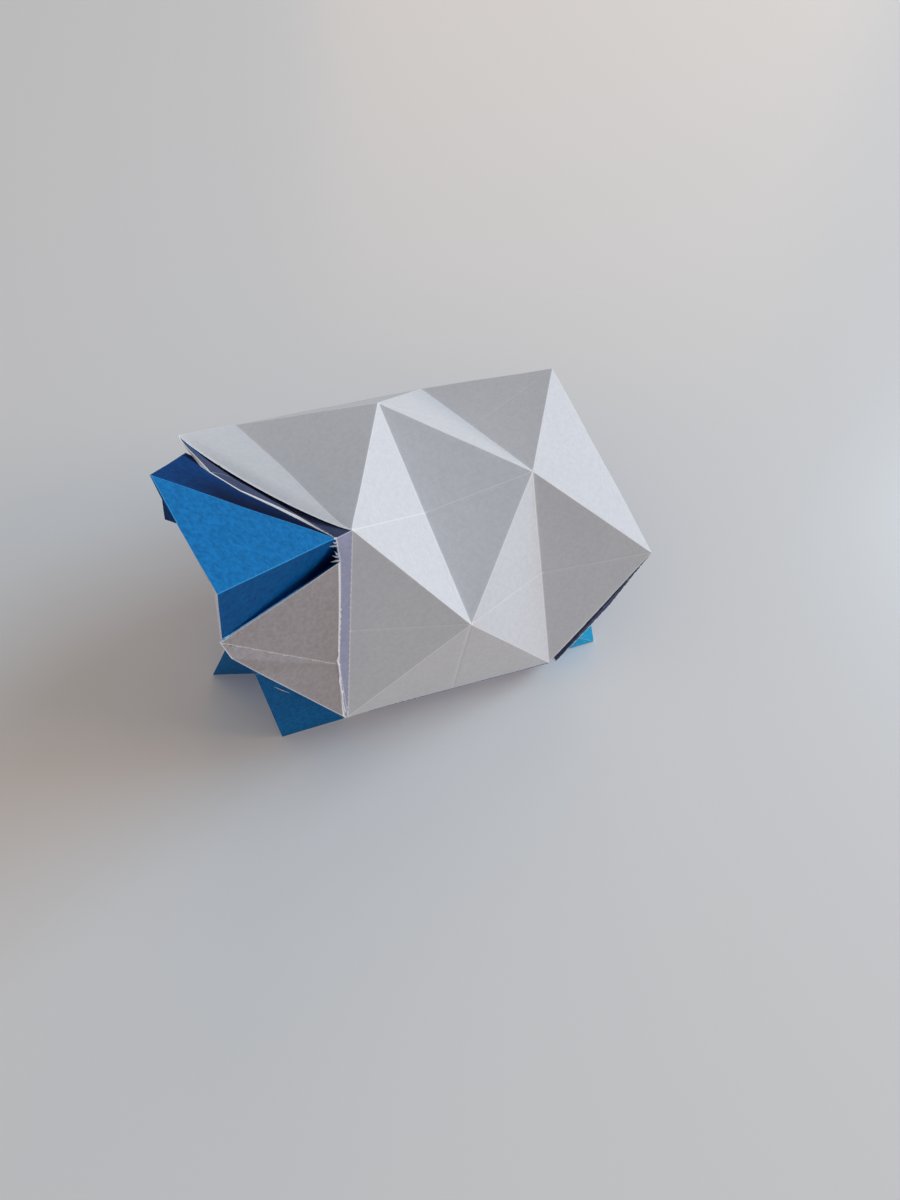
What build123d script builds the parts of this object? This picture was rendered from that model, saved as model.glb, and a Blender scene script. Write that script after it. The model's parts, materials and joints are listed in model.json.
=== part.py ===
"""Folded paper sheep, made from one square sheet on an eight by eight grid of folds.

The fleece is a tent of twelve flat facets round two valley folds, open at the
chest and the tail, with a pleat tucked under the far edge of its collar. Its hems turn under and hang down inside as belly walls, which
end in four feet. A raised face, a cheek and a wing stand in front of the collar.
The sheet is one closed solid of even thickness, mitred at each fold.
It stands as the real one does, leaning on its left side with its nose up.
X points to the sheep's left, Y to its tail and Z up.
"""
import os
from math import cos, radians, sin, sqrt

import numpy as np
from build123d import *

os.makedirs("parts", exist_ok=True)

# The square sheet, in millimetres, and the number of grid squares along its side.
sheet_side = 150.0
grid_count = 8
paper_thickness = 0.3

# The fleece: the depth of its two valley folds, and the drop of its front hem
# corners below the nape. The twist turns the tent about its spine, in degrees.
# The right flank is pressed out and up a little more than the left one.
valley_depth = 8.9
hem_drop = 26.7
right_flank_out = 0.8
right_flank_rise = 1.3
chest_twist_angle = 7.1
tail_twist_angle = -3.2

# The stance: the height of the nape above the table, the slope of the spine and
# the lean to the left, in degrees.
nape_height = 45.0
nose_up_angle = 15.5
lean_angle = 18.4

# The feet: how far each stands ahead of the nape or behind it, and to its side.
left_toe_ahead = 22.2
left_toe_aside = 5.4
left_heel_behind = 36.9
left_heel_aside = 18.7
right_toe_ahead = 28.0
right_toe_aside = 12.1
right_heel_behind = 36.6
right_heel_aside = 19.7
front_foot_length = 11.4
rear_foot_length = 7.0
front_belly_height = 8.0
rear_belly_height = 4.6
belly_gap_slope = 4.0
right_foot_turn_angle = 28.9
hock_height = 3.8
hock_inset = 1.9

# The head: the face rises forward from the lip of the collar to its front edge.
collar_lip = 2.7
face_length = 25.4
face_width = 19.4
face_rise_angle = 42.3
cheek_depth = 19.3
cheek_taper = 4.7
jaw_reach = 1.9
muzzle_flap = 6.6

# The bib's lining stands this far in front of the collar's left edge, and the
# lining at the tail shows this far past its hem.
lining_gap = 1.9
tail_lining = 2.4

# The largest mitre at a sharp corner, in half thicknesses of the paper, and the
# smallest bend that counts as a fold there.
mitre_share = 3.0
flat_share = 0.15

# Where the muzzle flap ends along the face's front edge, and where the lining
# bends along the collar's left edge.
muzzle_end_share = 0.42
lining_bend_shares = (0.12, 0.36, 0.66)

grid = sheet_side / grid_count

# Loose corners of the layers inside and in front of the fleece, in shares of the
# grid square from the point on the table below the nape.
loose_corner_shares = {
    "wing_bend": (-1.16, -0.34, 1.79),
    "wing_tip": (-1.68, -0.78, 1.965),
    "collar_tip": (-1.85, -0.75, 2.0),
    "collar_pocket": (-1.084, -0.336, 1.997),
    "inner_bend": (-1.097, -0.725, 2.339),
    "inner_middle": (-0.72, -0.603, 2.464),
    "inner_near": (-0.323, -0.294, 2.386),
    "cheek_end": (-0.18, -0.115, 1.76),
    "bib_tip": (0.28, -1.27, 2.27),
    "bib_notch": (0.35, -1.25, 2.09),
    "bib_side": (0.40, -1.12, 1.75),
    "left_neck": (0.15, -0.35, 1.8),
    "left_throat": (0.16, -1.145, 1.25),
    "left_wall_front": (0.33, -0.40, 1.1),
    "left_wall_rear": (0.72, 1.35, 0.5),
    "right_throat": (-0.36, -1.27, 0.92),
    "right_shoulder": (-1.1, -0.8, 1.5),
    "right_belly_front": (-0.8, -0.55, 0.55),
    "right_belly_rear": (-1.05, 1.15, 0.45),
}

# Each facet's corners, in order round its white side.
fleece_facets = [
    ("nape", "left_flank", "right_flank"),
    ("right_flank", "left_flank", "loin"),
    ("loin", "rump", "right_hip"),
    ("loin", "left_hip", "rump"),
    ("nape", "left_front_hem", "left_flank"),
    ("left_flank", "left_front_hem", "left_rear_hem"),
    ("left_flank", "left_rear_hem", "loin"),
    ("loin", "left_rear_hem", "left_hip"),
    ("nape", "right_flank", "right_front_hem"),
    ("right_flank", "right_rear_hem", "right_front_hem"),
    ("right_flank", "loin", "right_rear_hem"),
    ("loin", "right_hip", "right_rear_hem"),
    ("nape", "right_front_hem", "collar_tip"),
]
collar_facets = [
    ("nape", "collar_tip", "collar_pocket"),
    ("collar_pocket", "collar_tip", "inner_bend"),
    ("collar_pocket", "inner_bend", "inner_middle"),
    ("collar_pocket", "inner_middle", "inner_near"),
    ("collar_pocket", "inner_near", "lip"),
    ("collar_pocket", "lip", "nape"),
]
head_facets = [
    ("lip", "right_ear", "muzzle"),
    ("lip", "muzzle", "left_ear"),
    ("right_ear", "muzzle_side", "muzzle"),
    ("muzzle_side", "muzzle_tip", "muzzle"),
    ("lip", "left_ear", "jaw"),
    ("lip", "wing_bend", "right_ear"),
    ("wing_bend", "wing_tip", "right_ear"),
]
bib_facets = [
    ("nape", "lip", "lining_top"),
    ("nape", "lining_top", "lining_bend"),
    ("nape", "lining_bend", "lining_fold"),
    ("nape", "lining_fold", "left_front_hem"),
    ("left_front_hem", "lining_fold", "lining_end"),
    ("lining_top", "bib_tip", "lining_bend"),
    ("lining_bend", "bib_tip", "lining_fold"),
    ("lining_fold", "bib_tip", "bib_notch"),
    ("lining_fold", "bib_notch", "bib_side"),
    ("lining_fold", "bib_side", "lining_end"),
]
left_wall_facets = [
    ("lip", "cheek_end", "lining_top"),
    ("lip", "jaw", "cheek_end"),
    ("cheek_end", "left_neck", "lining_top"),
    ("cheek_end", "jaw", "left_neck"),
    ("jaw", "left_throat", "left_neck"),
    ("left_throat", "left_wall_front", "left_neck"),
    ("left_throat", "left_front_heel", "left_wall_front"),
    ("left_throat", "left_front_toe", "left_front_heel"),
    ("left_wall_front", "left_front_heel", "left_belly_front"),
    ("left_wall_front", "left_belly_front", "left_wall_rear"),
    ("left_wall_rear", "left_belly_front", "left_belly_rear"),
    ("left_wall_rear", "left_belly_rear", "left_rear_heel"),
    ("left_wall_rear", "left_rear_heel", "left_rear_toe"),
    ("left_wall_rear", "left_rear_toe", "left_hock"),
    ("left_front_hem", "left_wall_rear", "left_rear_hem"),
    ("left_front_hem", "left_wall_front", "left_wall_rear"),
    ("left_hip", "left_rear_hem", "tail_fold"),
    ("left_hip", "tail_fold", "tail_corner"),
    ("left_hip", "tail_corner", "tail_edge"),
]
right_wall_facets = [
    ("right_front_hem", "right_belly_front", "right_shoulder"),
    ("right_front_hem", "right_rear_hem", "right_belly_front"),
    ("right_rear_hem", "right_belly_rear", "right_belly_front"),
    ("right_rear_hem", "right_rear_heel", "right_belly_rear"),
    ("right_rear_hem", "right_rear_toe", "right_rear_heel"),
    ("right_shoulder", "right_belly_front", "right_throat"),
    ("right_throat", "right_belly_front", "right_front_heel"),
    ("right_throat", "right_front_heel", "right_front_toe"),
]


def between(start, end, share):
    """The point at this share of the way from start to end."""
    return start + (end - start) * share


def front_hem_corner(half_spine):
    """Two squares from the nape and a diagonal from the flank, at the drop of the hem."""
    strip = grid + grid
    diagonal = sqrt(grid**2 + grid**2)
    nape_square = strip**2 - hem_drop**2
    flank_square = diagonal**2 - (hem_drop - valley_depth) ** 2
    level = (nape_square - flank_square + grid**2 + half_spine**2) / (grid + grid)
    slope = half_spine / grid
    spread = 1 + slope**2
    y = (level * slope - sqrt((level * slope) ** 2 - spread * (level**2 - nape_square))) / spread
    return Vector(level - slope * y, y, -hem_drop)


def rear_hem_corner(loin, flank, front_hem):
    """Two squares from the loin and the front hem corner, and a diagonal from the flank."""
    strip = grid + grid
    diagonal = sqrt(grid**2 + grid**2)
    span = (flank - loin).length
    across = (flank - loin).normalized()
    along = across.dot(front_hem - loin)
    up = (front_hem - loin - across * along).normalized()
    rise = up.dot(front_hem - loin)
    x = (strip**2 - diagonal**2 + span**2) / (span + span)
    y = (along**2 + rise**2 - (along + along) * x) / (rise + rise)
    depth = sqrt(strip**2 - x**2 - y**2)
    corners = [loin + across * x + up * y + across.cross(up) * z for z in (depth, -depth)]
    return max(corners, key=lambda corner: corner.X)


def hip_corner(loin, rear_hem):
    """One square beside the loin and one behind it, a diagonal from the rear hem corner."""
    offset = rear_hem - loin
    reach = sqrt(offset.Y**2 + offset.Z**2)
    level = (offset.dot(offset) - (grid + grid) * offset.X) / (grid + grid)
    share = level / reach
    rest = sqrt(1 - share**2)
    behind = (offset.Y * share - offset.Z * rest) / reach
    below = (offset.Z * share + offset.Y * rest) / reach
    return loin + Vector(grid, behind * grid, below * grid)


def stood(point, tail_reach):
    """A tent corner twisted about the spine, then leaned and tipped to its stance."""
    twist = chest_twist_angle + (tail_twist_angle - chest_twist_angle) * point.Y / tail_reach
    leaned = point.rotate(Axis.Y, twist + lean_angle)
    return leaned.rotate(Axis.X, -nose_up_angle) + Vector(0, 0, nape_height)


def fleece_points():
    """The corners of the tent, whose edges keep their lengths on the flat sheet."""
    half_spine = sqrt(grid**2 - valley_depth**2)
    nape = Vector(0, 0, 0)
    loin = Vector(0, half_spine + half_spine, 0)
    flank = Vector(grid, half_spine, -valley_depth)
    front_hem = front_hem_corner(half_spine)
    rear_hem = rear_hem_corner(loin, flank, front_hem)
    hip = hip_corner(loin, rear_hem)
    points = {"nape": stood(nape, hip.Y), "loin": stood(loin, hip.Y)}
    sides = {"flank": flank, "front_hem": front_hem, "rear_hem": rear_hem, "hip": hip}
    for name, corner in sides.items():
        points["left_" + name] = stood(corner, hip.Y)
        points["right_" + name] = stood(Vector(-corner.X, corner.Y, corner.Z), hip.Y)
    points["right_flank"] += Vector(-right_flank_out, 0, right_flank_rise)
    points["rump"] = between(points["left_hip"], points["right_hip"], 1 / 2)
    return points


def head_points(nape):
    """The face, its muzzle flap and the bottom corner of the left cheek."""
    rise = radians(face_rise_angle)
    lip = nape - Vector(0, collar_lip, 0)
    brow = lip + Vector(0, -face_length * cos(rise), face_length * sin(rise))
    left_ear = brow + Vector(face_width / 2, 0, 0)
    right_ear = brow - Vector(face_width / 2, 0, 0)
    return {
        "lip": lip,
        "left_ear": left_ear,
        "right_ear": right_ear,
        "muzzle": between(right_ear, left_ear, muzzle_end_share),
        "jaw": left_ear - Vector(cheek_taper, jaw_reach, cheek_depth),
        "muzzle_side": right_ear - Vector(0, 0, muzzle_flap * 3 / 4),
        "muzzle_tip": right_ear - Vector(-jaw_reach, jaw_reach / 2, muzzle_flap),
    }


def lining_points(nape, front_hem):
    """The bend points of the bib's lining, just in front of the collar's left edge."""
    top, bend, fold = (between(nape, front_hem, share) for share in lining_bend_shares)
    ahead = Vector(0, -lining_gap, 0)
    return {
        "lining_top": top + ahead,
        "lining_bend": bend + ahead,
        "lining_fold": fold + ahead,
        "lining_end": front_hem + ahead / 3,
    }


def foot_points():
    """The four feet on the table, and the corners of the gap under the belly between them."""
    left_front = Vector(left_toe_aside, -left_toe_ahead, 0)
    left_rear = Vector(left_heel_aside, left_heel_behind, 0)
    right_front = Vector(-right_toe_aside, -right_toe_ahead, 0)
    right_rear = Vector(-right_heel_aside, right_heel_behind, 0)
    along = (left_rear - left_front).normalized()
    turned = Vector(0, 1, 0).rotate(Axis.Z, -right_foot_turn_angle)
    front_heel = left_front + along * front_foot_length
    rear_heel = left_rear - along * rear_foot_length
    return {
        "left_front_toe": left_front,
        "left_front_heel": front_heel,
        "left_belly_front": front_heel + along * belly_gap_slope + Vector(0, 0, front_belly_height),
        "left_belly_rear": rear_heel - along * belly_gap_slope + Vector(0, 0, rear_belly_height),
        "left_rear_heel": rear_heel,
        "left_rear_toe": left_rear,
        "left_hock": left_rear + Vector(-hock_inset, 0, hock_height),
        "right_front_toe": right_front,
        "right_front_heel": right_front + turned * front_foot_length,
        "right_rear_toe": right_rear,
        "right_rear_heel": right_rear - along * rear_foot_length,
    }


def tail_points(rear_hem, hip):
    """The left tail hem's lining: a pleat folded in along the hem and out past it."""
    hem = hip - rear_hem
    past = Vector(0, tail_lining, 0)
    inward = Vector(-tail_lining / 2, 0, 0)
    return {
        "tail_fold": rear_hem + inward + past,
        "tail_corner": rear_hem + past - Vector(0, 0, tail_lining / 2),
        "tail_edge": rear_hem + hem * (1 / 2) + past - Vector(0, 0, tail_lining / 2),
    }


def sheet_points():
    """Every corner of the folded sheet, by name."""
    points = fleece_points()
    points.update(head_points(points["nape"]))
    points.update(lining_points(points["nape"], points["left_front_hem"]))
    points.update(foot_points())
    points.update(tail_points(points["left_rear_hem"], points["left_hip"]))
    for name, (x_share, y_share, z_share) in loose_corner_shares.items():
        points[name] = Vector(x_share * grid, y_share * grid, z_share * grid)
    return points


def facet_normal(points, facet):
    """The direction that a facet's white side faces."""
    first, second, third = (points[name] for name in facet)
    return (second - first).cross(third - first).normalized()


def mitre(normals):
    """The step from the sheet's middle to its surface at a corner, level with every facet there."""
    rows = [(normal.X, normal.Y, normal.Z) for normal in normals]
    step = Vector(*np.linalg.lstsq(rows, np.ones(len(rows)), rcond=flat_share)[0])
    return step * min(1, mitre_share / step.length)


def triangle(first, second, third):
    """A flat three-cornered face."""
    return Face(Wire.make_polygon([first, second, third], close=True))


def open_edges(facets):
    """The directed edges that only one facet has: the outline of the sheet and its slits."""
    edges = [pair for facet in facets for pair in zip(facet, facet[1:] + facet[:1])]
    return [(start, end) for start, end in edges if (end, start) not in edges]


def thick_sheet(points, facets):
    """One closed solid of even thickness about the facets, mitred along each fold."""
    white = {}
    blue = {}
    for name, point in points.items():
        normals = [facet_normal(points, facet) for facet in facets if name in facet]
        step = mitre(normals) * (paper_thickness / 2)
        white[name] = point + step
        blue[name] = point - step
    faces = [triangle(*(white[name] for name in facet)) for facet in facets]
    faces += [triangle(*(blue[name] for name in reversed(facet))) for facet in facets]
    for start, end in open_edges(facets):
        faces.append(triangle(white[start], blue[start], blue[end]))
        faces.append(triangle(white[start], blue[end], white[end]))
    return Solid(Shell(faces))


def settled(sheet):
    """The solid set down with its feet on the table and the middle of its outline at the origin."""
    box = sheet.bounding_box()
    middle = box.center()
    return sheet.moved(Location((-middle.X, -middle.Y, -box.min.Z)))


def folded_sheep():
    """The whole folded sheet."""
    facets = fleece_facets + collar_facets + head_facets + bib_facets
    facets += left_wall_facets + right_wall_facets
    return settled(thick_sheet(sheet_points(), facets))


export_step(folded_sheep(), "parts/folded_sheet.step")
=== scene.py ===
"""The looks of a folded paper sheep: white on one side of the sheet and blue on the other.

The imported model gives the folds. One side of its sheet is taken as an open surface whose
corners remember the other side, it is divided and its folds are softened, the paper is
given its slight waves and dents, and then it is closed again with its other side and a
pale cut edge.
"""
import json
import math

import bmesh
import bpy
from mathutils import Matrix, Vector, noise

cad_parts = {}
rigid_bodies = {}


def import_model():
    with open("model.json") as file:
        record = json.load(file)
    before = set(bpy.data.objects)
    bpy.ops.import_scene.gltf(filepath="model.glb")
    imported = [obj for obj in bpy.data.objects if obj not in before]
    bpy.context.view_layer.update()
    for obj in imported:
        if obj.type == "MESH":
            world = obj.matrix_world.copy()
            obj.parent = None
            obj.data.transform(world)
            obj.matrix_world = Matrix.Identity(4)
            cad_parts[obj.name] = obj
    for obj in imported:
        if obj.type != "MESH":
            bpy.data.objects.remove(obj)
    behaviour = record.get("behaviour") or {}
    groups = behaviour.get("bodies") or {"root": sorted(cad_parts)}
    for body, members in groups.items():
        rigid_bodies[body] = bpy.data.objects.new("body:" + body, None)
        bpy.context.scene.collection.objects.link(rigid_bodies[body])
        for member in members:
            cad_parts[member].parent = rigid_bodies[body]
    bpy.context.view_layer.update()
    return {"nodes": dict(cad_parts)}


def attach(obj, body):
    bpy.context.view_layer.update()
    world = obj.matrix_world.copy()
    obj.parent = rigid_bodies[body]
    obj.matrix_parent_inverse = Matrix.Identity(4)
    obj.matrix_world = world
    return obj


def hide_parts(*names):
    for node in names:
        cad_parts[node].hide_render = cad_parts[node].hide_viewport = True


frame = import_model()

MM = 0.001
NODE = "folded_sheet"

# The folding grid of the sheet: an eighth of a 150 mm square.
GRID = 18.75 * MM

# The frame's origin is under the middle of the sheep. The places below are counted from
# this point instead, which is on the table below the nape.
NAPE_FOOT = Vector((8.07 * MM, -10.59 * MM, 0.08 * MM))


def place(x_share, y_share, z_share):
    """A point in shares of the folding grid, counted from the table below the nape."""
    return NAPE_FOOT + Vector((x_share, y_share, z_share)) * GRID


# Places of the fleece's corners, each used for the sheet's nearest one.
NAPE = place(0, 0, 2.4)
LOIN = place(0, 1.70, 1.93)
LEFT_FLANK = place(0.75, 0.63, 1.38)
RIGHT_FLANK = place(-1.11, 0.83, 2.11)
LEFT_FRONT_HEM = place(0.64, -0.59, 0.60)
LEFT_REAR_HEM = place(1.02, 1.38, 0.24)
RIGHT_REAR_HEM = place(-1.84, 1.63, 1.15)
LEFT_HIP = place(0.89, 2.48, 1.17)
RIGHT_HIP = place(-1.04, 2.62, 1.68)

# A facet's colour goes by the corners that it reaches. These are reached by blue paper
# only: the face, the walls and the feet.
BLUE_CORNERS = [
    place(0.52, -1.15, 3.31), place(-0.52, -1.15, 3.31), place(-0.08, -1.15, 3.31),
    place(0.27, -1.25, 2.28), place(0.16, -1.14, 1.25), place(0.33, -0.40, 1.1),
    place(0.72, 1.35, 0.5), place(0.15, -0.35, 1.8), place(0.29, -1.18, 0),
    place(0.42, -0.59, 0), place(0.47, -0.38, 0.43), place(0.87, 1.40, 0.25),
    place(0.92, 1.60, 0), place(-0.36, -1.27, 0.92), place(-0.65, -1.49, 0),
    place(-0.35, -0.96, 0), place(-1.05, 1.95, 0), place(-1.13, 1.59, 0),
    place(-1.1, -0.8, 1.5), place(-0.8, -0.55, 0.55), place(-1.05, 1.15, 0.45),
]
# The muzzle's end and the corners of the wing, which lie in shadow.
MUZZLE = place(-0.52, -1.15, 3.05)
SHADED_CORNERS = [place(-1.16, -0.34, 1.79), place(-1.68, -0.78, 1.97), MUZZLE]
# Painted light: the rear foot is painted lighter for the brightest light, and the fold behind the cheek is
# painted lighter for the light that comes through the paper.
PAINTED_LIGHT_CORNERS = [place(1.0, 1.97, 0), place(0.90, 1.98, 0.20), place(-0.18, -0.12, 1.76)]
# The inside of the collar and the tail pleat, the lining beside the bib, and the bib.
POCKET_CORNERS = [place(-1.08, -0.34, 2.0), place(0.96, 1.51, 0.24), place(1.02, 1.51, 0.18)]
LINING_CORNERS = [place(0.08, -0.17, 2.18), place(0.23, -0.31, 1.75), place(0.42, -0.49, 1.21)]
LIP = place(0, -0.14, 2.40)
BIB_TIP = place(0.28, -1.27, 2.27)
BIB_EDGE_CORNERS = [place(0.35, -1.25, 2.09), place(0.40, -1.12, 1.75)]
# A corner as near as this to one of these places is the one that is meant.
SNAP = 0.04 * GRID
SNAP_WIDE = 0.08 * GRID

# The sheet's materials, in slot order: its two sides, the cut edges, and copies of the sides for facets
# whose differing light and shade are painted into their colour.
WHITE, BLUE, CORE, BIB, BAND, SHADED, POCKET, PAINTED_LIGHT, CHEEK = range(9)

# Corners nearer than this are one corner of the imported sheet.
MERGE_DISTANCE = 0.01 * MM

# A skin edge shorter than this joins the two sides of the paper, even at a sharp fold,
# and facets whose directions agree less than this look opposite ways.
CUT_EDGE = 1.0 * MM
OPPOSITE = -0.7

# A bend of more than this angle is a fold. Its corners ease by this share, and a bend
# of more than the smooth angle between small faces is shown as a sharp line.
FOLD_ANGLE = math.radians(4)
ROUND_SHARE = 0.35
SMOOTH_ANGLE = math.radians(20)

# Faint creases: the depth they are pressed to, and how much wear and painted highlight they show beside a
# fold.
# A thin cut edge shows this share of a broad one's white.
FAINT_DEPTH = 0.08 * MM
FAINT_SHARE = 0.74
THIN_SHARE = 0.3

# The paper's fibres and pulp clouds, drawn coarser than real ones so that they show, the
# strength of its bump, its faint sheen, and the white of its pulp.
FELT_SIZE = 0.45 * MM
FELT_HEIGHT = 0.04 * MM
FELT_STRENGTH = 0.35
CLOUD_SIZE = 0.8 * MM
PAPER_SHEEN = 0.1
PULP_COLOUR = "#F4F4F8"
FELT = {"Scale": 1 / FELT_SIZE, "Detail": 4.0, "Roughness": 0.7}
CLOUD = {"Scale": 1 / CLOUD_SIZE, "Detail": 3.0}

# The stretch of the pattern, of the wear with its painted highlight, and of the cut edge over which each
# one comes in.
DYE_RANGE = {"From Min": 0.4, "From Max": 0.6}
WEAR_AND_HIGHLIGHT_RANGE = {"From Min": 0.4, "From Max": 0.9}
CUT_RANGE = {"From Min": 0.1, "From Max": 0.35}

# The two colour inputs and the colour output of a mix.
FIRST, SECOND, MIXED = 6, 7, 2

# The faces that the paper waves by, those beside its lines, and how often they are halved.
FACE_SIZE = 1.0 * MM
EDGE_SIZE = 0.5 * MM
HALVINGS = 9

# The paper's waves and dents. The dents start elsewhere in the noise than the waves do.
WAVE_LENGTH = 14 * MM
WAVE_HEIGHT = 0.14 * MM
DENT_LENGTH = 3.5 * MM
DENT_HEIGHT = 0.03 * MM
DENT_START = Vector((7, 3, 5))

# The far edge of the collar bows out and rolls down at its very edge. A power below one
# makes the bow full towards both ends.
COLLAR_TIP = place(-1.85, -0.75, 2.0)
BOW_WIDTH = 6 * MM
BOW_HEIGHT = 1.5 * MM
BOW_POWER = 0.6
ROLL_WIDTH = 2 * MM
ROLL_DEPTH = 0.5 * MM

# How far the pocket's cut edge is turned out and up.
POCKET_EDGE = 0.45 * MM
POCKET_LIFT = 0.24 * MM

# The lower edge of the left belly wall, and how far it hangs out and down from the hem.
BELLY_FRONT = place(0.47, -0.38, 0.43)
BELLY_REAR = place(0.87, 1.40, 0.25)
SAG_WIDTH = 5 * MM
SAG_OUT = 2.6 * MM
SAG_DOWN = 2.2 * MM

# The lower end of the tail pleat, and how far it reaches towards the hem's corner.
TAIL_FOLD = place(0.96, 1.51, 0.24)
TAIL_WIDTH = 12 * MM
TAIL_REACH = 1.5 * MM

# The torn edge at the lip, and the fibres that stand out of it: the share of the way
# from the lip down to the lining, the length, and how far the tip rises in the picture.
FIBRES = [
    (0.22, 0.9 * MM, 0.4 * MM), (0.34, 1.7 * MM, -0.1 * MM), (0.7, 0.8 * MM, 0.5 * MM),
    (0.8, 1.2 * MM, 0.2 * MM), (0.97, 1.5 * MM, -0.2 * MM),
]
FIBRE_LIFT = 0.5 * MM
FIBRE_WIDTH = 0.3 * MM
THREAD_END = 0.04 * MM

# The top of the head lies deep below the collar, and its shade is painted: how fast the painted shade
# deepens from the muzzle towards the lip, how far to both sides it reaches, and its colour.
DEEP_RATE = 3.2
DEEP_WIDTH = 16 * MM
PAINTED_HEAD_SHADE_COLOUR = "#020A2C"

# The second white line beside the bib's near edge: the places that it runs through, the
# steps between two of them, its wobble and the wobble's length, and how far it stands off.
CRINKLE = [
    place(0.285, -0.36, 1.57), place(0.366, -0.451, 1.353), place(0.404, -0.492, 1.263),
    place(0.484, -0.538, 1.039), place(0.569, -0.581, 0.801), place(0.635, -0.604, 0.603),
]
CRINKLE_STEPS = 4
CRINKLE_WOBBLE = 0.3 * MM
CRINKLE_LENGTH = 1.5 * MM
CRINKLE_LIFT = 0.3 * MM
CRINKLE_WIDTH = 0.32 * MM

# The short raw edge on the left front leg, from end to end.
LEG_MARK = [place(0.221, -1.049, 0.968), place(0.241, -1.000, 0.875), place(0.262, -0.952, 0.782)]
LEG_MARK_WIDTH = 0.25 * MM

# Faint creases of the folding grid: an edge's two ends, and the corners that its
# middle is joined to.
CREASES = [
    (LEFT_FLANK, RIGHT_FLANK, (NAPE, LOIN)),
    (LOIN, RIGHT_REAR_HEM, (RIGHT_FLANK, RIGHT_HIP)),
    (LOIN, LEFT_REAR_HEM, (LEFT_FLANK, LEFT_HIP)),
    (LEFT_FRONT_HEM, LEFT_REAR_HEM, (LEFT_FLANK,)),
    (NAPE, LEFT_FRONT_HEM, (LEFT_FLANK,)),
]

# The camera of the photograph: its place in the same shares, its level axis, its
# downward axis, and a lens as wide as the picture's field of view.
CAMERA_PLACE = place(3.49, -1.216, 8.316)
CAMERA_RIGHT = Vector((0.513, 0.858, 0.0))
CAMERA_DOWN = Vector((0.765, -0.457, -0.454))
SENSOR = 36.0
LENS = 36.0
NEAR_CLIP = 10 * MM

# The soft lights, most of which come from the picture's right and a little behind: name,
# direction, power in watts, colour, and width in metres.
LIGHTS = [
    ("broad_light", Vector((0.1, 0.9, 0.6)), 7.4, (0.53, 0.775, 0.97), 0.7),
    ("warm_light", Vector((-0.7, 0.6, 0.5)), 1.7, (1.0, 0.62, 0.3), 0.7),
    ("low_light", Vector((0.5, 0.85, 0.25)), 4.5, (1.0, 0.78, 0.62), 0.4),
]
LIGHT_TARGET = Vector((0, 0, 20 * MM))
LIGHT_DISTANCE = 1.2

# The room's own light, and the table's width in metres, its colour and its roughness.
ROOM_COLOUR = (0.98, 0.935, 0.9, 1)
ROOM_STRENGTH = 0.335
TABLE_WIDTH = 6.0
TABLE_COLOUR = "#F3F2F3"
TABLE_ROUGHNESS = 0.25


def linear(hex_colour):
    """An sRGB hex colour as linear red, green, blue and alpha."""
    channels = [int(hex_colour[i:i + 2], 16) / 255 for i in (1, 3, 5)]
    shares = [c / 12.92 if c <= 0.04045 else ((c + 0.055) / 1.055) ** 2.4 for c in channels]
    return (*shares, 1.0)


def clear_room():
    """Leaves nothing of the file that Blender starts with."""
    for left_over in [o for o in bpy.data.objects if o.name in ("Cube", "Light", "Camera")]:
        bpy.data.objects.remove(left_over)


def deselect():
    """Nothing selected, so that an operator acts only on its own piece."""
    if bpy.context.object and bpy.context.object.mode != "OBJECT":
        bpy.ops.object.mode_set(mode="OBJECT")
    bpy.ops.object.select_all(action="DESELECT")


def choose(piece):
    """Makes one piece the selected and active one."""
    deselect()
    piece.select_set(True)
    bpy.context.view_layer.objects.active = piece


def copied_sheet():
    """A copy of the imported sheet, its loose triangles merged."""
    choose(frame["nodes"][NODE])
    bpy.ops.object.duplicate()
    sheet = bpy.context.object
    sheet.name = "paper_sheep"
    for key in list(sheet.keys()):
        del sheet[key]
    sheet.parent = None
    sheet.matrix_world = Matrix.Identity(4)
    choose(sheet)
    bpy.ops.object.mode_set(mode="EDIT")
    bpy.ops.mesh.select_all(action="SELECT")
    bpy.ops.mesh.remove_doubles(threshold=MERGE_DISTANCE)
    bpy.ops.object.mode_set(mode="OBJECT")
    sheet.data.materials.clear()
    return sheet


def has_back(face, faces):
    """Whether a face just behind this one looks the other way, as the paper's other side does."""
    for other in faces:
        apart = not set(face.verts) & set(other.verts)
        if apart and face.normal.dot(other.normal) < OPPOSITE:
            if all(nearest(v, other.verts)[0] < CUT_EDGE for v in face.verts):
                return True
    return False


def outer_skin(mesh):
    """The corners of the white side, which holds the highest corner of all.

    A face with a short edge and no other side just behind it is a cut edge.
    """
    mesh.normal_update()
    short = [f for f in mesh.faces if min(e.calc_length() for e in f.edges) < CUT_EDGE]
    cut = [f for f in short if not has_back(f, mesh.faces)]
    bmesh.ops.delete(mesh, geom=cut, context="FACES")
    top = max(mesh.verts, key=lambda v: v.co.z)
    skin, queue = {top}, [top]
    while queue:
        for edge in queue.pop().link_edges:
            if edge.link_faces:
                fresh = [v for v in edge.verts if v not in skin]
                skin.update(fresh)
                queue.extend(fresh)
    return skin


def keep_one_side(sheet):
    """Leaves the white side's skin, whose corners remember the blue side's corners behind them."""
    mesh = bmesh.new()
    mesh.from_mesh(sheet.data)
    behind = mesh.verts.layers.float_vector.new("behind")
    skin = outer_skin(mesh)
    outer = [f for f in mesh.faces if f.verts[0] in skin]
    inner = [f for f in mesh.faces if f.verts[0] not in skin]
    for face in outer:
        pair = min(inner, key=lambda f: sum(nearest(v, f.verts)[0] for v in face.verts))
        for vert in face.verts:
            vert[behind] = nearest(vert, pair.verts)[1]
    bmesh.ops.delete(mesh, geom=[v for v in mesh.verts if v not in skin], context="VERTS")
    mesh.to_mesh(sheet.data)
    mesh.free()


def nearest(vert, others):
    """The distance and the place of the nearest of some corners."""
    return min(((vert.co - other.co).length, tuple(other.co)) for other in others)


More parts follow.
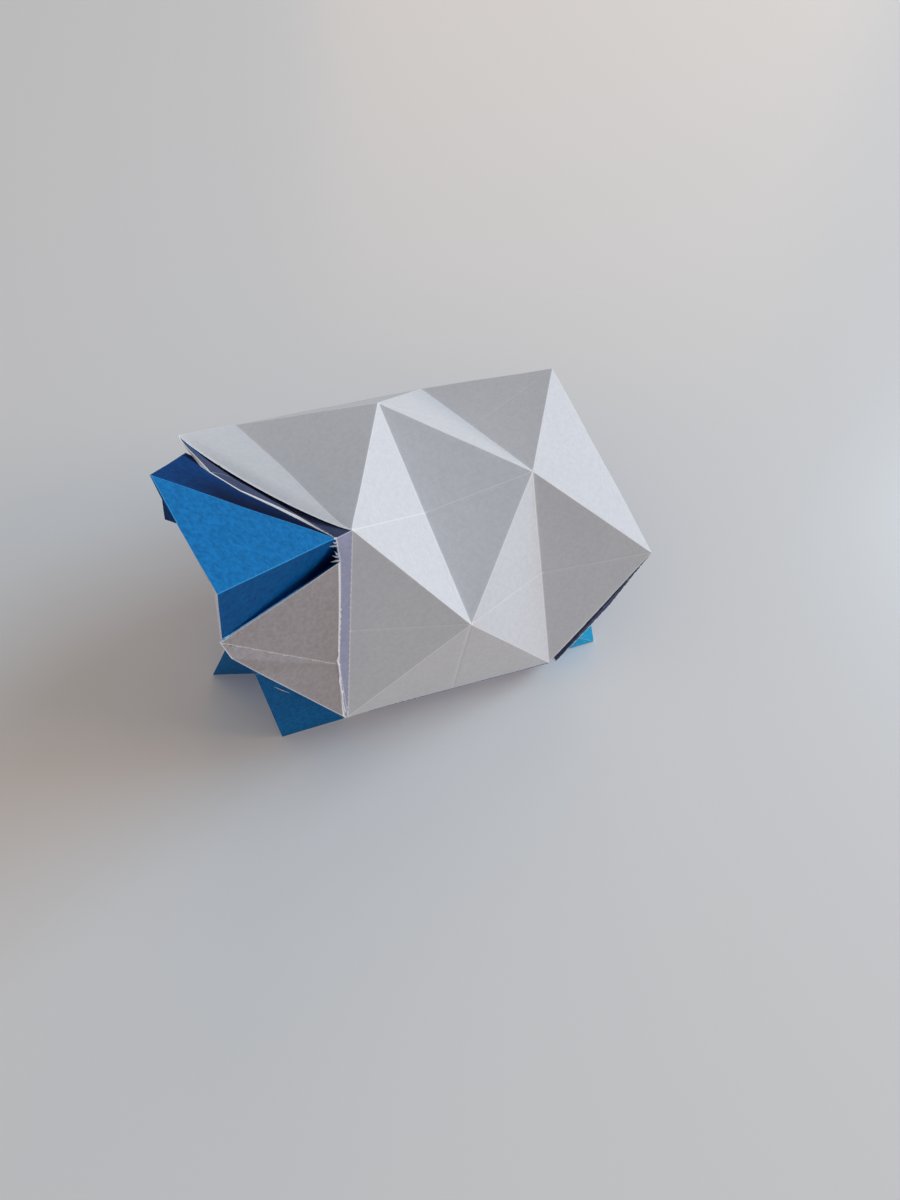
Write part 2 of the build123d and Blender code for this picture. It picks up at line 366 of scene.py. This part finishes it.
def reaches(face, behind, places):
    """Whether one of a facet's corners, taken midway through the paper, is at one of these places."""
    middles = [(v.co + Vector(v[behind])) / 2 for v in face.verts]
    return any((middle - p).length < SNAP for middle in middles for p in places)


def side_shown(face, behind):
    """The material of a facet's outer side, by the corners it reaches."""
    lining = reaches(face, behind, LINING_CORNERS)
    bib_tip = reaches(face, behind, [BIB_TIP])
    # The bib gets white paper with painted shade, and the band beside it gets white paper with painted
    # shade and painted blue reflected light.
    if reaches(face, behind, BIB_EDGE_CORNERS) or (lining and bib_tip):
        return BIB
    if lining and reaches(face, behind, [NAPE, LEFT_FRONT_HEM]):
        return BAND
    # The cheek facet is painted darker blue for the shade on it.
    if bib_tip and reaches(face, behind, [LIP]):
        return CHEEK
    regions = ((POCKET_CORNERS, POCKET), (SHADED_CORNERS, SHADED), (PAINTED_LIGHT_CORNERS, PAINTED_LIGHT),
               (BLUE_CORNERS, BLUE))
    return next((side for corners, side in regions if reaches(face, behind, corners)), WHITE)


def paint_sides(mesh):
    """Head, walls and feet show blue; the fleece, the collar and the bib show white.

    The facets of the left belly wall are marked as well.
    """
    behind = mesh.verts.layers.float_vector["behind"]
    walls = mesh.faces.layers.int.new("wall")
    for face in mesh.faces:
        face.material_index = side_shown(face, behind)
        face[walls] = int(reaches(face, behind, [BELLY_FRONT, BELLY_REAR]))


def is_fold(edge):
    """Whether paper bends here, but for the bib's lower part, which is only curved."""
    if not edge.is_manifold or edge.calc_face_angle(0) < FOLD_ANGLE:
        return False
    on_bib = all(f.material_index == BIB for f in edge.link_faces)
    low = any((v.co - p).length < SNAP_WIDE for v in edge.verts for p in BIB_EDGE_CORNERS)
    return not (on_bib and low)


def corner(mesh, place_near):
    """The sheet's corner nearest to a place."""
    return min(mesh.verts, key=lambda v: (v.co - place_near).length)


def crease(mesh, start, end, corners):
    """A faint fold that was opened again: from the middle of an edge to opposite corners."""
    first, second = corner(mesh, start), corner(mesh, end)
    edge = next(e for e in first.link_edges if e.other_vert(first) is second)
    middle = bmesh.utils.edge_split(edge, first, 0.5)[1]
    for place_near in corners:
        opposite = corner(mesh, place_near)
        made = bmesh.ops.connect_verts(mesh, verts=[middle, opposite])["edges"]
        for new_edge in made:
            new_edge.seam = True
    bmesh.ops.triangulate(mesh, faces=[f for f in mesh.faces if len(f.verts) > 3])


def at_line(edge):
    """Whether an edge touches a fold, a faint crease or the sheet's border."""
    return any(v.is_boundary or any(e.seam or not e.smooth for e in v.link_edges) for v in edge.verts)


def divide(mesh):
    """Small enough faces for the paper to wave between its folds, and smaller ones beside them."""
    for _ in range(HALVINGS):
        long_edges = [e for e in mesh.edges if e.calc_length() > (EDGE_SIZE if at_line(e) else FACE_SIZE)]
        if not long_edges:
            break
        bmesh.ops.subdivide_edges(mesh, edges=long_edges, cuts=1)
        bmesh.ops.triangulate(mesh, faces=[f for f in mesh.faces if len(f.verts) > 3])


def move(vert, behind, step):
    """Moves both sides of the paper by one step, but not into the table."""
    vert.co += step
    vert.co.z = max(vert.co.z, 0)
    place_behind = Vector(vert[behind]) + step
    place_behind.z = max(place_behind.z, 0)
    vert[behind] = place_behind


def folded(vert):
    """Whether a sharp fold runs through here."""
    return any(not e.smooth for e in vert.link_edges)


def creased(vert):
    """Whether a faint crease runs through here."""
    return any(e.seam for e in vert.link_edges)


def paint_fold_wear_and_highlight(mesh):
    """Folds and faint creases show wear, and a painted highlight along them."""
    wear_and_highlight = mesh.verts.layers.float.new("wear_and_highlight")
    for vert in mesh.verts:
        vert[wear_and_highlight] = 1.0 if folded(vert) else FAINT_SHARE if creased(vert) else 0.0


def whiten_edges(mesh):
    """The pulp shows at raw edges and hems: broad at bib, pocket and tail, and thin elsewhere."""
    cut = mesh.verts.layers.float.new("cut")
    for vert in mesh.verts:
        sides = {f.material_index for f in vert.link_faces}
        raw = vert.is_boundary and sides <= {WHITE, BIB, BAND, POCKET}
        bib_edge = sides >= {BIB, BAND} or sides >= {PAINTED_LIGHT, BAND}
        pocket_edge = raw and sides == {POCKET}
        tail_hem = sides >= {WHITE, POCKET} and vert.co.y > LEFT_REAR_HEM.y
        thin = raw or sides >= {WHITE, BAND} or sides >= {WHITE, BLUE}
        broad = bib_edge or pocket_edge or tail_hem
        vert[cut] = 1.0 if broad else THIN_SHARE if thin else 0.0


def round_folds(mesh):
    """Pressed paper bends round a small radius, so a fold's corners ease towards their neighbours."""
    behind = mesh.verts.layers.float_vector["behind"]
    steps = []
    for vert in mesh.verts:
        if folded(vert) and not vert.is_boundary:
            around = [e.other_vert(vert).co for e in vert.link_edges]
            middle = sum(around, Vector()) / len(around)
            steps.append((vert, (middle - vert.co) * ROUND_SHARE))
        elif creased(vert):
            steps.append((vert, vert.normal * -FAINT_DEPTH))
    for vert, step in steps:
        move(vert, behind, step)


def shade_head(mesh):
    """Painted shade: the top of the head is painted darker under the collar, from the muzzle towards the
    lip.
    """
    deep = mesh.verts.layers.float.new("deep")
    along = LIP - MUZZLE
    for vert in mesh.verts:
        if all(f.material_index == SHADED for f in vert.link_faces):
            share = (vert.co - MUZZLE).dot(along) / along.length_squared
            distance = (vert.co - MUZZLE - along * share).length
            vert[deep] = min(max(share * DEEP_RATE, 0), 1) * max(0, 1 - distance / DEEP_WIDTH)


def wave(mesh):
    """Handled paper isn't quite flat: long soft waves and a few small dents."""
    behind = mesh.verts.layers.float_vector["behind"]
    mesh.normal_update()
    for vert in mesh.verts:
        height = WAVE_HEIGHT * noise.noise(vert.co / WAVE_LENGTH)
        height += DENT_HEIGHT * noise.noise(vert.co / DENT_LENGTH + DENT_START)
        move(vert, behind, vert.normal * height)


def bow_collar(mesh):
    """The far edge of the collar bows out between nape and tip, and rolls over at its very edge."""
    behind = mesh.verts.layers.float_vector["behind"]
    along = COLLAR_TIP - NAPE
    outward = Vector((0, 0, 1)).cross(along).normalized()
    for vert in mesh.verts:
        share = (vert.co - NAPE).dot(along) / along.length_squared
        distance = (vert.co - NAPE - along * share).length
        if 0 < share < 1 and distance < BOW_WIDTH:
            arch = math.sin(math.pi * share) ** BOW_POWER
            step = outward * BOW_HEIGHT * arch * (1 - distance / BOW_WIDTH) ** 2
            step.z -= ROLL_DEPTH * arch * max(0, 1 - distance / ROLL_WIDTH) ** 2
            move(vert, behind, step)


def turn_pocket_edge(mesh):
    """The cut edge below the collar's pocket is turned out, so that it catches the light."""
    behind = mesh.verts.layers.float_vector["behind"]
    outward = Vector((0, 0, 1)).cross(COLLAR_TIP - NAPE).normalized()
    step = outward * POCKET_EDGE + Vector((0, 0, POCKET_LIFT))
    for vert in mesh.verts:
        if vert.is_boundary and vert.co.y < 0 and all(f.material_index == POCKET for f in vert.link_faces):
            vert[behind] = Vector(vert[behind]) + step


def reach_tail_pleat(mesh):
    """The tail pleat's lower end reaches nearly to the hem's corner."""
    behind = mesh.verts.layers.float_vector["behind"]
    toward = (LEFT_REAR_HEM - LEFT_HIP).normalized()
    for vert in mesh.verts:
        distance = (vert.co - TAIL_FOLD).length
        if distance < TAIL_WIDTH and all(f.material_index == POCKET for f in vert.link_faces):
            move(vert, behind, toward * TAIL_REACH * (1 - distance / TAIL_WIDTH) ** 2)


def sag_belly(mesh):
    """The belly wall's lower edge hangs out a little, so that its blue shows below the hem."""
    walls = mesh.faces.layers.int["wall"]
    behind = mesh.verts.layers.float_vector["behind"]
    along = BELLY_REAR - BELLY_FRONT
    for vert in mesh.verts:
        if not all(face[walls] for face in vert.link_faces):
            continue
        share = min(max((vert.co - BELLY_FRONT).dot(along) / along.length_squared, 0), 1)
        distance = (vert.co - BELLY_FRONT - along * share).length
        if distance < SAG_WIDTH:
            fade = (1 - distance / SAG_WIDTH) ** 2
            move(vert, behind, Vector((SAG_OUT, 0, -SAG_DOWN)) * fade)


def thread(mesh, points, widths):
    """A thin four-sided thread of paper core through some points."""
    along = (points[-1] - points[0]).normalized()
    rings = []
    for point, width in zip(points, widths):
        across = along.cross(CAMERA_PLACE - point).normalized() * width / 2
        deep = along.cross(across).normalized() * width / 2
        rings.append([mesh.verts.new(point + offset) for offset in (across, deep, -across, -deep)])
    outlines = [rings[0][::-1], rings[-1]]
    for ring, following in zip(rings, rings[1:]):
        for k, after in ((0, 1), (1, 2), (2, 3), (3, 0)):
            outlines.append((ring[k], ring[after], following[after], following[k]))
    for outline in outlines:
        mesh.faces.new(outline).material_index = CORE


def tear_lip(mesh):
    """Short white fibres stand out of the torn edge between lip and lining."""
    for share, length, rise in FIBRES:
        root = LIP.lerp(LINING_CORNERS[0], share)
        root += (CAMERA_PLACE - root).normalized() * FIBRE_LIFT
        middle = root - CAMERA_RIGHT * length / 2
        tip = root - CAMERA_RIGHT * length - CAMERA_DOWN * rise
        thread(mesh, [root, middle, tip], [FIBRE_WIDTH, FIBRE_WIDTH, THREAD_END])


def crinkle_bib(mesh):
    """The bib's near edge curls over, so that its crinkled cut edge shows as a second white line."""
    points = []
    for start, end in zip(CRINKLE, CRINKLE[1:]):
        for step in range(CRINKLE_STEPS):
            point = start.lerp(end, step / CRINKLE_STEPS)
            point += CAMERA_RIGHT * CRINKLE_WOBBLE * noise.noise(point / CRINKLE_LENGTH)
            points.append(point + (CAMERA_PLACE - point).normalized() * CRINKLE_LIFT)
    points.append(CRINKLE[-1])
    thread(mesh, points, [THREAD_END] + [CRINKLE_WIDTH] * (len(points) - 2) + [THREAD_END])


def close_paper(mesh):
    """The side behind the kept one, which is blue all over, and the pale cut edge between them."""
    behind = mesh.verts.layers.float_vector["behind"]
    front = list(mesh.faces)
    partner = {vert: mesh.verts.new(vert[behind]) for vert in list(mesh.verts)}
    for face in front:
        corners = [partner[v] for v in reversed(face.verts)]
        # A facet that is there twice is kept once.
        if mesh.faces.get(corners):
            mesh.faces.remove(face)
            continue
        back = mesh.faces.new(corners)
        back.material_index = BLUE
        back.smooth = True
    for edge in [e for e in mesh.edges if e.is_boundary and e.verts[0] in partner]:
        loop = edge.link_loops[0]
        start, end = loop.vert, loop.link_loop_next.vert
        rim = mesh.faces.new((end, start, partner[start], partner[end]))
        rim.material_index = CORE
    bmesh.ops.triangulate(mesh, faces=[f for f in mesh.faces if len(f.verts) > 3])
    mesh.normal_update()


def fold_paper(sheet):
    """The paper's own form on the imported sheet's facets."""
    mesh = bmesh.new()
    mesh.from_mesh(sheet.data)
    paint_sides(mesh)
    for edge in mesh.edges:
        edge.smooth = not is_fold(edge)
    for start, end, corners in CREASES:
        crease(mesh, start, end, corners)
    divide(mesh)
    mesh.normal_update()
    paint_fold_wear_and_highlight(mesh)
    whiten_edges(mesh)
    round_folds(mesh)
    shade_head(mesh)
    mesh.normal_update()
    bow_collar(mesh)
    sag_belly(mesh)
    reach_tail_pleat(mesh)
    turn_pocket_edge(mesh)
    wave(mesh)
    close_paper(mesh)
    tear_lip(mesh)
    crinkle_bib(mesh)
    thread(mesh, LEG_MARK, [THREAD_END, LEG_MARK_WIDTH, THREAD_END])
    mesh.to_mesh(sheet.data)
    mesh.free()
    choose(sheet)
    bpy.ops.object.shade_smooth_by_angle(angle=SMOOTH_ANGLE)


def add(tree, kind, settings=None, links=None):
    """One node, with its settings and with links from other nodes' outputs.

    An input is given by its name, or by its number where names repeat.
    """
    node = tree.nodes.new(kind)
    for name, value in (settings or {}).items():
        if isinstance(name, int) or name in node.inputs.keys():
            node.inputs[name].default_value = value
        else:
            setattr(node, name, value)
    for name, source in (links or {}).items():
        tree.links.new(source, node.inputs[name])
    return node


def paper_material(name, colour, shade, wear_and_highlight, roughness, sheen=PAPER_SHEEN):
    """Uncoated craft paper, pressed from pulp: a dull felt of fibres, paler where a fold shows wear and a
    painted highlight, and darker with painted shade on the head's top.
    """
    material = bpy.data.materials.new(name)
    material.use_nodes = True
    tree = material.node_tree
    shader = tree.nodes["Principled BSDF"]
    shader.inputs["Roughness"].default_value = roughness
    shader.inputs["Specular IOR Level"].default_value = sheen
    where = {"Vector": add(tree, "ShaderNodeTexCoord").outputs["Object"]}
    colours = {"data_type": "RGBA"}
    # The felt of single fibres, and the soft clouds of thicker and thinner pulp.
    felt = add(tree, "ShaderNodeTexNoise", FELT, where)
    cloud = add(tree, "ShaderNodeTexNoise", CLOUD, where)
    pulp = add(tree, "ShaderNodeMix", {"data_type": "FLOAT"},
               {"A": felt.outputs["Fac"], "B": cloud.outputs["Fac"]})
    dye = add(tree, "ShaderNodeMapRange", DYE_RANGE, {"Value": pulp.outputs["Result"]})
    plain = add(tree, "ShaderNodeMix", {**colours, FIRST: linear(shade), SECOND: linear(colour)},
                {"Factor": dye.outputs["Result"]})
    # A fold's ridge loses its surface and turns pale; the pale line is also a painted highlight.
    fold = add(tree, "ShaderNodeAttribute", {"attribute_name": "wear_and_highlight"})
    ridge = add(tree, "ShaderNodeMapRange", WEAR_AND_HIGHLIGHT_RANGE, {"Value": fold.outputs["Fac"]})
    rubbed_and_highlit = add(tree, "ShaderNodeMix", {**colours, SECOND: linear(wear_and_highlight)},
                 {"Factor": ridge.outputs["Result"], FIRST: plain.outputs[MIXED]})
    # The white pulp shows along a cut edge.
    edge = add(tree, "ShaderNodeAttribute", {"attribute_name": "cut"})
    line = add(tree, "ShaderNodeMapRange", CUT_RANGE, {"Value": edge.outputs["Fac"]})
    edged = add(tree, "ShaderNodeMix", {**colours, SECOND: linear(PULP_COLOUR)},
                {"Factor": line.outputs["Result"], FIRST: rubbed_and_highlit.outputs[MIXED]})
    # Painted shade: the collar's shade on the head's top is painted in, as the scene's lights make it too
    # soft.
    deep = add(tree, "ShaderNodeAttribute", {"attribute_name": "deep"})
    head_shade_painted = add(tree, "ShaderNodeMix", {**colours, SECOND: linear(PAINTED_HEAD_SHADE_COLOUR)},
               {"Factor": deep.outputs["Fac"], FIRST: edged.outputs[MIXED]})
    tree.links.new(head_shade_painted.outputs[MIXED], shader.inputs["Base Color"])
    bump = add(tree, "ShaderNodeBump", {"Strength": FELT_STRENGTH, "Distance": FELT_HEIGHT},
               {"Height": felt.outputs["Fac"]})
    tree.links.new(bump.outputs["Normal"], shader.inputs["Normal"])
    return material


def dress(sheet):
    """The sheet's papers, in slot order.

    White and blue are its two sides, and the pale core shows at cut edges and torn fibres.
    The bib is white paper painted grey with shade, and the thin band beside it is white paper painted
    bluer with shade and blue reflected light. The others are lit and shaded copies of the two sides, with
    the light and shade painted into their colours.
    """
    papers = [
        paper_material("white_craft_paper", "#E1E3E9", "#DADCE3", "#F8F9FC", 0.8),
        paper_material("blue_craft_paper", "#127AC0", "#0B66A4", "#3C97D4", 0.6),
        paper_material("white_paper_core", "#F4F5FA", "#E6E8EF", "#F8F9FC", 0.9),
        paper_material("white_paper_painted_bib_shade", "#A8A2A4", "#9C9699", "#CBC8CA", 0.85),
        paper_material("white_paper_painted_blue_shade", "#B1B4D0", "#A6A9C8", "#E4E6F2", 0.85),
        paper_material("shaded_blue_craft_paper", "#0A4787", "#06346C", "#1967AC", 0.7, 0.02),
        paper_material("shaded_white_paper", "#4C5779", "#424C6D", "#8F94AA", 0.85),
        paper_material("blue_paper_painted_light", "#3CC8FF", "#2CB4F2", "#8CD2F8", 0.6),
        paper_material("blue_paper_painted_cheek_shade", "#0C60A4", "#074C88", "#2A7FBE", 0.65, 0.04),
    ]
    for paper in papers:
        sheet.data.materials.append(paper)


def table_top():
    """A plain pale table under the sheep."""
    deselect()
    bpy.ops.mesh.primitive_plane_add(size=TABLE_WIDTH, location=(0, 0, 0))
    top = bpy.context.object
    top.name = "table_top"
    material = bpy.data.materials.new("pale_laminate")
    material.use_nodes = True
    shader = material.node_tree.nodes["Principled BSDF"]
    shader.inputs["Base Color"].default_value = linear(TABLE_COLOUR)
    shader.inputs["Roughness"].default_value = TABLE_ROUGHNESS
    top.data.materials.append(material)


def light(name, direction, power, colour, width):
    """One square soft light, aimed at the sheep from this direction."""
    lamp = bpy.data.lights.new(name, "AREA")
    lamp.shape = "SQUARE"
    lamp.size = width
    lamp.energy = power
    lamp.color = colour
    holder = bpy.data.objects.new(name, lamp)
    bpy.context.scene.collection.objects.link(holder)
    holder.location = LIGHT_TARGET + direction.normalized() * LIGHT_DISTANCE
    holder.rotation_euler = (-direction).to_track_quat("-Z", "Y").to_euler()


def studio():
    """Soft lights, and a room that is pale all round."""
    for settings in LIGHTS:
        light(*settings)
    world = bpy.data.worlds.new("room")
    bpy.context.scene.world = world
    world.use_nodes = True
    background = world.node_tree.nodes["Background"]
    background.inputs["Color"].default_value = ROOM_COLOUR
    background.inputs["Strength"].default_value = ROOM_STRENGTH


def camera():
    """The photograph's view, from the sheep's left and above."""
    data = bpy.data.cameras.new("photo_view")
    data.sensor_fit = "HORIZONTAL"
    data.sensor_width = SENSOR
    data.lens = LENS
    data.clip_start = NEAR_CLIP
    holder = bpy.data.objects.new("photo_view", data)
    right = CAMERA_RIGHT.normalized()
    back = right.cross(-CAMERA_DOWN).normalized()
    up = back.cross(right)
    turn = Matrix((right, up, back)).transposed()
    holder.matrix_world = Matrix.Translation(CAMERA_PLACE) @ turn.to_4x4()
    bpy.context.scene.collection.objects.link(holder)
    bpy.context.scene.camera = holder


clear_room()
camera()

sheep = copied_sheet()
keep_one_side(sheep)
dress(sheep)
fold_paper(sheep)
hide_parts(NODE)
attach(sheep, "root")

table_top()
studio()
bpy.context.scene.view_settings.view_transform = "Standard"
